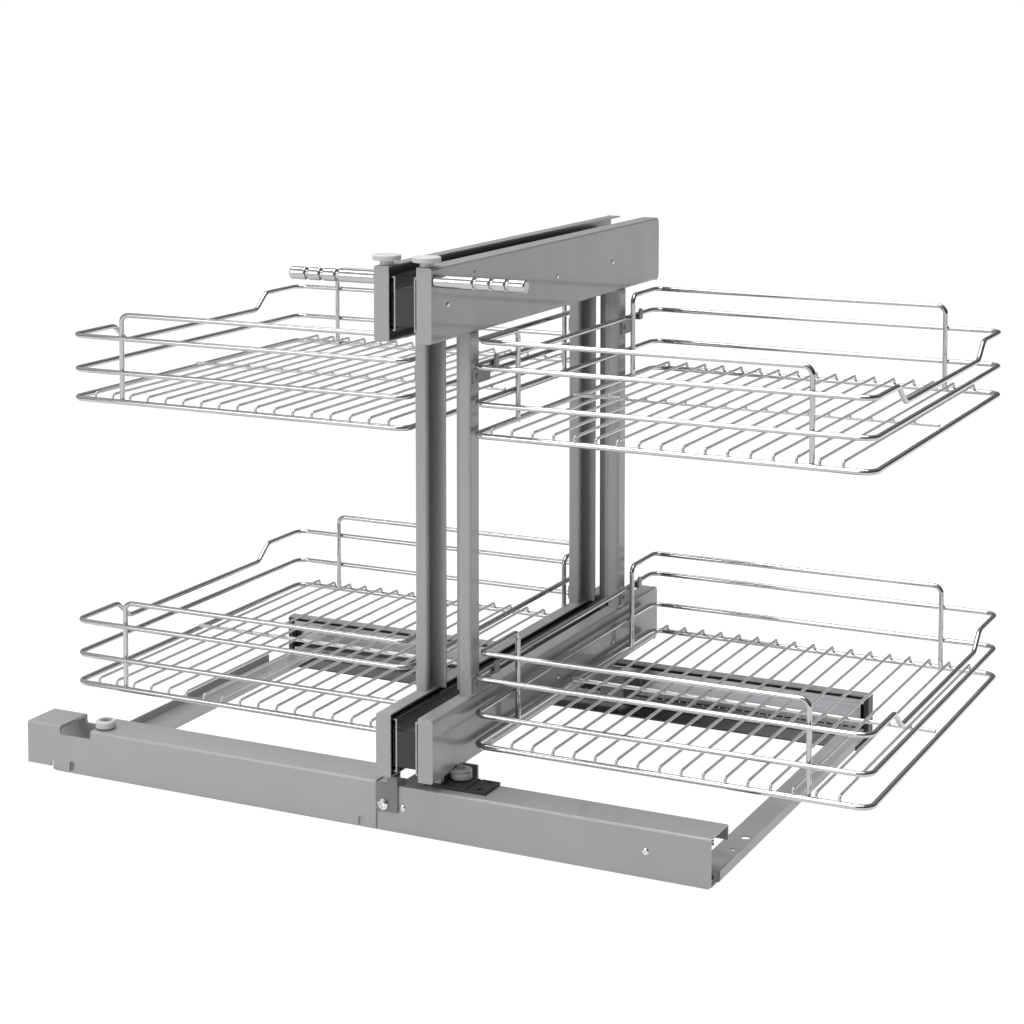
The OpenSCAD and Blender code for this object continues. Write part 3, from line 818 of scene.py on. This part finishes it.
@dataclass
class Studio:
    """Floor, soft lights, surroundings and the camera at the photograph's angle.

    Attributes:
        eye: Where the camera stands.
        azimuth: How far the camera is turned about the vertical, in degrees.
        elevation: How far it looks down, in degrees.
        lens: Focal length, in millimetres.
        sensor: Width of the sensor, in millimetres.
        drop: Share of the picture's width that the lens is shifted down.
        near: Nearest distance that the camera sees.
        lamps: The soft lights.
        sky: Strength of the surroundings.
        side_reach: Span of the direction's X over which the surroundings change.
        side_grey: Their brightness at the two ends of that span.
        height_reach: Span of the direction's Z over which they change.
        height_share: What their brightness is multiplied by at the ends of that span.
        floor_size: Length of the floor's sides.
        floor_place: The floor's middle, a little under the unit.
        floor_colour: The floor's colour.
        floor_rough: Its roughness.
        floor_glow: Strength of the white that the camera and reflections see in it.
        glow_share: How much of that white they see, beside the lit floor.
    """

    eye: Triple = (0.9737, -2.0154, 0.7587)
    azimuth: float = 26.05
    elevation: float = 4.353
    lens: float = 80.03
    sensor: float = 36.0
    drop: float = 0.3334
    near: float = 0.05
    lamps: tuple[Lamp, ...] = (TOP_LIGHT, FRONT_LIGHT)
    sky: float = 0.9
    side_reach: Span = (-0.8, 0.7)
    side_grey: Span = (0.60, 0.12)
    height_reach: Span = (0.10, 0.55)
    height_share: Span = (0.35, 1.25)
    floor_size: float = 60.0
    floor_place: Triple = (0.0, 20.0, -0.4 * MM)
    floor_colour: Triple = (0.86, 0.86, 0.86)
    floor_rough: float = 0.9
    floor_glow: float = 1.13
    glow_share: float = 0.90

    def camera(self) -> None:
        """Adds the camera and makes it the scene's."""
        nothing_selected()
        tilt = math.radians(90.0 - self.elevation)
        bpy.ops.object.camera_add(location=self.eye, rotation=(tilt, 0.0, math.radians(self.azimuth)))
        seen = bpy.context.object
        seen.name = "camera"
        seen.data.sensor_width = self.sensor
        seen.data.lens = self.lens
        seen.data.shift_y = -self.drop
        seen.data.clip_start = self.near
        bpy.context.scene.camera = seen

    def lights(self) -> None:
        """Adds the soft lights."""
        for lamp in self.lamps:
            lamp.hang()

    def surroundings(self) -> None:
        """Sets the world: white where the camera sees it, softly graded elsewhere."""
        world = bpy.data.worlds.new("studio")
        world.use_nodes = True
        bpy.context.scene.world = world
        graph = Graph(world.node_tree)
        graph.tree.nodes.clear()
        where = graph.add("ShaderNodeTexCoord")
        split = graph.add("ShaderNodeSeparateXYZ")
        graph.join(where.outputs["Generated"], split.inputs[0])
        sideways = graph.spread(split.outputs["X"], self.side_reach, self.side_grey)
        upward = graph.spread(
            split.outputs["Z"], self.height_reach, self.height_share, interpolation_type="SMOOTHSTEP"
        )
        grade = graph.add("ShaderNodeMath", operation="MULTIPLY")
        graph.join(sideways, grade.inputs[0])
        graph.join(upward, grade.inputs[1])
        soft = graph.fill(graph.add("ShaderNodeBackground"), {"Strength": self.sky})
        graph.join(grade.outputs[0], soft.inputs["Color"])
        white = graph.fill(graph.add("ShaderNodeBackground"), {"Color": (1, 1, 1, 1), "Strength": 1.0})
        ray = graph.add("ShaderNodeLightPath")
        mix = graph.add("ShaderNodeMixShader")
        out = graph.add("ShaderNodeOutputWorld")
        graph.join(ray.outputs["Is Camera Ray"], mix.inputs["Fac"])
        graph.join(soft.outputs[0], mix.inputs[1])
        graph.join(white.outputs[0], mix.inputs[2])
        graph.join(mix.outputs[0], out.inputs["Surface"])

    def floor_material(self) -> bpy.types.Material:
        """Builds the floor's material, which keeps shadows and shows white to the camera.

        Returns:
            The new material.
        """
        made = bpy.data.materials.new("pale_floor")
        made.use_nodes = True
        graph = Graph(made.node_tree)
        shader = graph.tree.nodes["Principled BSDF"]
        graph.fill(shader, {"Base Color": rgba(self.floor_colour), "Roughness": self.floor_rough})
        out = graph.tree.nodes["Material Output"]
        glow = graph.fill(graph.add("ShaderNodeEmission"), {"Strength": self.floor_glow})
        ray = graph.add("ShaderNodeLightPath")
        seen = graph.add("ShaderNodeMath", operation="MAXIMUM")
        share = graph.add("ShaderNodeMath", operation="MULTIPLY")
        share.inputs[1].default_value = self.glow_share
        mix = graph.add("ShaderNodeMixShader")
        graph.join(ray.outputs["Is Camera Ray"], seen.inputs[0])
        graph.join(ray.outputs["Is Glossy Ray"], seen.inputs[1])
        graph.join(seen.outputs[0], share.inputs[0])
        graph.join(share.outputs[0], mix.inputs["Fac"])
        graph.join(shader.outputs[0], mix.inputs[1])
        graph.join(glow.outputs[0], mix.inputs[2])
        graph.join(mix.outputs[0], out.inputs["Surface"])
        return made

    def floor(self) -> None:
        """Adds a wide pale floor that keeps the unit's soft shadow."""
        nothing_selected()
        bpy.ops.mesh.primitive_plane_add(size=self.floor_size, location=self.floor_place)
        ground = bpy.context.object
        ground.name = "floor"
        ground.data.materials.append(self.floor_material())

    def build(self) -> None:
        """Sets the picture up."""
        bpy.context.scene.view_settings.view_transform = "Standard"
        self.camera()
        self.lights()
        self.surroundings()
        self.floor()


def main() -> None:
    """Builds the unit and its studio, in order."""
    logging.basicConfig(level=logging.INFO, format="%(name)s: %(message)s")
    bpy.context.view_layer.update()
    wardrobe = Wardrobe()
    Studio().build()
    parts = [Base(wardrobe), Carriage(wardrobe), Half(wardrobe, Side.LEFT), Half(wardrobe, Side.RIGHT)]
    for part in parts:
        part.build()
        LOG.info("dressed %s", type(part).__name__)


if __name__ == "__main__":
    main()
